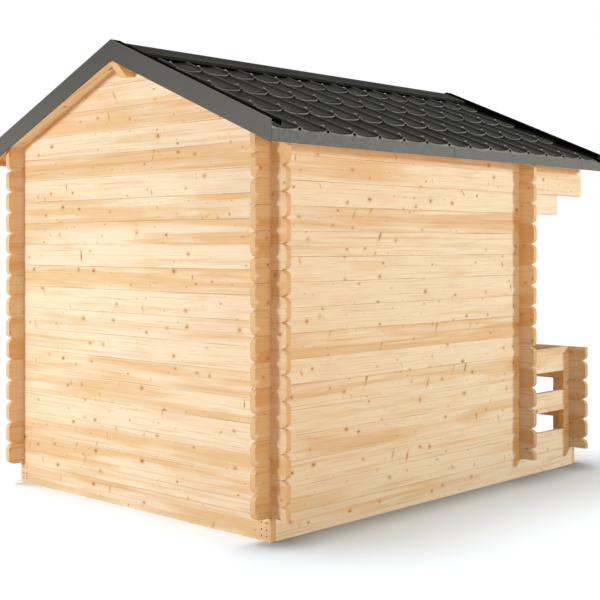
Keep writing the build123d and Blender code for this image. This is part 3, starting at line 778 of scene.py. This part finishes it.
def eave_trim(name, side, replaced):
    """Folded eave trim in three lengths from the rear, each lapped over the next."""
    half = SHEET_Y - 0.0004
    lengths = ((half, 0.104, 0.0), (0.140, -1.350, 0.0006), (-1.314, -half, 0.0012))
    parts = []
    for start, stop, sunk in lengths:
        path = [
            (0.011, EAVE_FOOT + 0.0040),
            (0.010, EAVE_FOOT + 0.0004),
            (0.0020, EAVE_FOOT),
            (0.0, EAVE_FOOT + 0.0020),
            (0.0, EAVE_TOP - 0.0045),
            (0.0014, EAVE_TOP - 0.0014),
            (0.0045, EAVE_TOP),
            (0.014, EAVE_TOP),
        ]
        loop = ribbon(path[::-1], EAVE_SHEET)
        rings = []
        stations = [start + (stop - start) * step / EAVE_STEPS for step in range(EAVE_STEPS)]
        for y in stations + [stop + LAP_EDGE, stop]:
            rings.append([(side * (HALF_SPAN - sunk - inward), y, z) for inward, z in loop])
        part_verts, part_faces = sweep(rings)
        if side > 0:
            part_faces = [tuple(reversed(face)) for face in part_faces]
        parts.append((part_verts, part_faces))
    verts, faces = merge(parts)
    piece = make_piece(name, verts, faces, trim_paint, replaced)
    piece.data.materials.append(lip_shade_paint)
    # Painted shadow along the edge of each lap
    for polygon in piece.data.polygons:
        if any(stop < polygon.center.y < stop + LAP_EDGE for start, stop, sunk in lengths[:-1]):
            polygon.material_index = 1


for end, end_name in ((1, "rear"), (-1, "front")):
    for side, side_name in ((-1, "left"), (1, "right")):
        node = f"rake_trim_{end_name}_{side_name}"
        rake_trim(f"folded_{node}", side, end, (node,))
        heads = []
        seat = end * (RAKE_Y - SCREW_SEAT)
        for across, height in RAKE_END_SCREWS:
            heads.append(dome((side * across, seat, height), (0, end, 0), 0.0042, 0.0021))
        for share in RAKE_SCREW_SHARES:
            across = share * HALF_SPAN
            spot = (side * across, seat, roof_z(across, -RAKE_SCREW_DROP))
            heads.append(dome(spot, (0, end, 0), 0.0036, 0.0020))
        verts, faces = merge(heads)
        make_piece(f"{node}_screws", verts, faces, screw_steel, smooth=True)
for side, side_name in ((-1, "left"), (1, "right")):
    eave_trim(f"folded_eave_trim_{side_name}", side, (f"eave_trim_{side_name}",))
    heads = []
    for y in EAVE_SCREW_YS:
        spot = (side * (HALF_SPAN - SCREW_SEAT), y, EAVE_FOOT + EAVE_SCREW_RISE)
        heads.append(dome(spot, (side, 0, 0), 0.0034, 0.0021))
    verts, faces = merge(heads)
    make_piece(f"eave_trim_{side_name}_screws", verts, faces, screw_steel, smooth=True)

# Nails through the ends of the skirts
NAIL_INSETS = (0.029, 0.066)
NAIL_HEIGHTS = (0.026, 0.059, 0.095)
heads = []
for end, face in ((1, REAR_FACE), (-1, SKIRT_FRONT)):
    for side in (-1, 1):
        for inset in NAIL_INSETS:
            for height in NAIL_HEIGHTS:
                spot = (side * (HALF_WIDTH - inset), end * face, height)
                heads.append(dome(spot, (0, end, 0), 0.0034, 0.0012))
verts, faces = merge(heads)
make_piece("skirt_nails", verts, faces, nail_steel, smooth=True)

# Boards in place of the plain slabs


def board_section(width, thick, low_arris, high_arris):
    """Outline of a board's cross-section about its middle, with its long edges eased."""
    half = width / 2
    return [
        (-half, low_arris),
        (-half + low_arris, 0.0),
        (half - low_arris, 0.0),
        (half, low_arris),
        (half, thick - high_arris),
        (half - high_arris, thick),
        (-half + high_arris, thick),
        (-half, thick - high_arris),
    ]


def roof_boards(name, side, replaced):
    """Matched boards from ridge to eave, with a V joint below."""
    pitch = 2 * BOARD_HALF_LENGTH / ROOF_BOARDS
    section = board_section(pitch - 0.0008, 0.0216, 0.0030, 0.0006)
    parts = []
    for index in range(ROOF_BOARDS):
        middle = -BOARD_HALF_LENGTH + (index + 0.5) * pitch
        rings = []
        for across in (0.0003, BOARD_HALF_SPAN / 2, BOARD_HALF_SPAN - 0.0002):
            rings.append([(side * across, middle + y, roof_z(across, rise)) for y, rise in section])
        board_verts, board_faces = sweep(rings)
        if side < 0:
            board_faces = [tuple(reversed(face)) for face in board_faces]
        parts.append((board_verts, board_faces))
    verts, faces = merge(parts)
    make_piece(name, verts, faces, soffit_wood, replaced)


def floor_boards(name, node, count, gap, material):
    """Floor boards side to side, with eased edges."""
    low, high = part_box(node)
    pitch = (high[1] - low[1]) / count
    section = board_section(pitch - gap, high[2] - low[2] - 0.0002, 0.0010, 0.0025)
    parts = []
    for index in range(count):
        middle = low[1] + (index + 0.5) * pitch
        rings = []
        for x in (low[0] + 0.0005, 0.0, high[0] - 0.0005):
            rings.append([(x, middle + y, low[2] + 0.0001 + rise) for y, rise in section])
        parts.append(sweep(rings))
    verts, faces = merge(parts)
    make_piece(name, verts, faces, material, (node,))


def door_planks(name, node, count):
    """Upright planks with V joints."""
    low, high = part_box(node)
    pitch = (high[0] - low[0]) / count
    section = board_section(pitch - 0.0006, high[1] - low[1] - 0.0002, 0.0030, 0.0030)
    parts = []
    for index in range(count):
        middle = low[0] + (index + 0.5) * pitch
        rings = []
        for z in (low[2] + 0.0003, (low[2] + high[2]) / 2, high[2] - 0.0003):
            rings.append([(middle + x, low[1] + 0.0001 + depth, z) for x, depth in section])
        parts.append(sweep(rings))
    verts, faces = merge(parts)
    make_piece(name, verts, faces, door_wood, (node,))


roof_boards("soffit_boards_left", -1, ("roof_boards_left",))
roof_boards("soffit_boards_right", 1, ("roof_boards_right",))
floor_boards("room_floor_boards", "room_floor", ROOM_BOARDS, 0.0010, room_boards)
floor_boards("porch_floor_boards", "porch_floor", PORCH_BOARDS, 0.0050, porch_boards)
door_planks("door_leaf_planks", "door_leaf", DOOR_PLANKS)

# Studio set-up

FLOOR_HALF = 40.0
FLOOR_LIFT = 0.20
FLOOR_TINT = (0.86, 0.93, 1.00)
FLOOR_BOUNCE = (0.66, 0.56, 0.44)
CONTACT_REACH = 0.26
CONTACT_DEPTH = 1.15
CONTACT_FADE = 0.10


def shows_backdrop(tree):
    """1 on the rays that see the backdrop, from the camera, gloss or glass, and 0 on diffuse ones."""
    path = tree.nodes.new("ShaderNodeLightPath")
    share = path.outputs["Is Camera Ray"]
    for kind in ("Is Glossy Ray", "Is Transmission Ray"):
        either = tree.nodes.new("ShaderNodeMath")
        either.operation = "MAXIMUM"
        tree.links.new(share, either.inputs[0])
        tree.links.new(path.outputs[kind], either.inputs[1])
        share = either.outputs[0]
    return share


def plain_floor():
    """Pale floor that keeps the shadow, with painted shade close beside the left wall."""
    mesh = bpy.data.meshes.new("studio_floor")
    corners = [(x * FLOOR_HALF, y * FLOOR_HALF, 0) for x, y in ((-1, -1), (1, -1), (1, 1), (-1, 1))]
    mesh.from_pydata(corners, [], [(0, 1, 2, 3)])
    n = Nodes("studio_floor_paint")
    n.bsdf.inputs["Roughness"].default_value = 0.9
    n.bsdf.inputs["Specular IOR Level"].default_value = 0.0
    seen = shows_backdrop(n.tree)
    # Painted shade: ambient occlusion darkens the floor's colour and lift, only beside the left wall
    near = n.tree.nodes.new("ShaderNodeAmbientOcclusion")
    near.samples = 12
    near.inputs["Distance"].default_value = CONTACT_REACH
    pos = n.geometry_parts("Position")
    shade_side = n.ramp(pos[0], -HALF_WIDTH + CONTACT_FADE, -HALF_WIDTH)
    open_share = n.math("POWER", near.outputs["AO"], CONTACT_DEPTH)
    clear = n.minus(1.0, n.times(n.minus(1.0, open_share), shade_side))
    seen_color = n.mix(clear, (0.0, 0.0, 0.0), FLOOR_TINT)
    n.surface("Base Color", n.mix(seen, FLOOR_BOUNCE, seen_color))
    n.bsdf.inputs["Emission Color"].default_value = (0.50, 0.72, 1.0, 1)
    n.surface("Emission Strength", n.times(seen, n.times(clear, FLOOR_LIFT)))
    mesh.materials.append(n.material)
    floor = bpy.data.objects.new("studio_floor", mesh)
    scene.collection.objects.link(floor)
    return floor


floor = plain_floor()

# A white world behind the object, and a dim warm one that lights it, dimmer overhead
world = bpy.data.worlds.new("studio_world")
scene.world = world
world.use_nodes = True
tree = world.node_tree
tree.nodes.clear()
white = tree.nodes.new("ShaderNodeBackground")
white.inputs["Color"].default_value = (1, 1, 1, 1)
white.inputs["Strength"].default_value = 1.0
fill = tree.nodes.new("ShaderNodeBackground")
fill.inputs["Color"].default_value = (1.0, 0.75, 0.44, 1)
direction = tree.nodes.new("ShaderNodeTexCoord")
height = tree.nodes.new("ShaderNodeSeparateXYZ")
tree.links.new(direction.outputs["Generated"], height.inputs[0])
dim = tree.nodes.new("ShaderNodeMapRange")
tree.links.new(height.outputs[2], dim.inputs["Value"])
dim.inputs["From Min"].default_value = 0.0
dim.inputs["From Max"].default_value = 0.9
dim.inputs["To Min"].default_value = 0.47
dim.inputs["To Max"].default_value = 0.24
tree.links.new(dim.outputs["Result"], fill.inputs["Strength"])
choose = tree.nodes.new("ShaderNodeMixShader")
world_out = tree.nodes.new("ShaderNodeOutputWorld")
tree.links.new(shows_backdrop(tree), choose.inputs[0])
tree.links.new(fill.outputs[0], choose.inputs[1])
tree.links.new(white.outputs[0], choose.inputs[2])
tree.links.new(choose.outputs[0], world_out.inputs[0])


def sun(name, azimuth, elevation, strength, angle, color):
    """A sun whose light comes from azimuth, measured from +X towards +Y, at an elevation."""
    light = bpy.data.lights.new(name, "SUN")
    light.energy = strength
    light.angle = math.radians(angle)
    light.color = color
    lamp = bpy.data.objects.new(name, light)
    turn = math.radians(azimuth)
    rise = math.radians(elevation)
    flat = math.cos(rise)
    back = Vector((math.cos(turn) * flat, math.sin(turn) * flat, math.sin(rise)))
    lamp.rotation_mode = "QUATERNION"
    lamp.rotation_quaternion = back.to_track_quat("Z", "Y")
    scene.collection.objects.link(lamp)


# The softboxes light everything but the floor
wall_lights = bpy.data.collections.new("lit_by_softboxes")
wall_lights.objects.link(floor)
wall_lights.collection_objects[0].light_linking.link_state = "EXCLUDE"


def softbox(name, place, target, size, power, color):
    """A square area light at a place, facing a target."""
    light = bpy.data.lights.new(name, "AREA")
    light.shape = "SQUARE"
    light.size = size
    light.energy = power
    light.color = color
    lamp = bpy.data.objects.new(name, light)
    lamp.location = place
    lamp.rotation_mode = "QUATERNION"
    lamp.rotation_quaternion = (Vector(place) - Vector(target)).to_track_quat("Z", "Y")
    lamp.light_linking.receiver_collection = wall_lights
    scene.collection.objects.link(lamp)


softbox("rear_key", (1.6, 6.3, 1.5), (0.0, REAR_FACE, 1.1), 0.9, 195.0, (0.74, 0.91, 1.0))
softbox("side_key", (-7.5, -5.0, 3.1), (-HALF_WIDTH, 0.2, 1.1), 1.1, 412.0, (0.61, 0.86, 1.0))
softbox("corner_fill", (-6.5, 1.3, 1.9), (-HALF_WIDTH, 1.6, 1.1), 1.5, 60.0, (1.0, 0.76, 0.42))
sun("overhead", 8.0, 76.0, 2.80, 38.0, (0.97, 0.985, 1.0))

# The fitted camera: level, with the horizon above the picture's middle
PICTURE = 600
FOCUS = 1168.8
HORIZON = 244.92
SENSOR = 36.0
TURN = math.radians(46.571)
NEAR_DEPTH = 5.9664
NEAR_SIDE = -0.1499
EYE = 1.5203
camera_data = bpy.data.cameras.new("camera")
camera_data.sensor_width = SENSOR
camera_data.lens = FOCUS / PICTURE * SENSOR
camera_data.shift_y = -(PICTURE / 2 - HORIZON) / PICTURE
camera_data.clip_start = 0.1
camera_data.clip_end = 200.0
camera = bpy.data.objects.new("camera", camera_data)
scene.collection.objects.link(camera)
along_gable = NEAR_SIDE * math.sin(TURN) - NEAR_DEPTH * math.cos(TURN)
along_side = -NEAR_SIDE * math.cos(TURN) - NEAR_DEPTH * math.sin(TURN)
camera.location = (along_gable - HALF_WIDTH, REAR_FACE - along_side, EYE)
look = Vector((math.cos(TURN), -math.sin(TURN), 0.0))
camera.rotation_mode = "QUATERNION"
camera.rotation_quaternion = look.to_track_quat("-Z", "Y")
scene.camera = camera
scene.view_settings.view_transform = "Standard"
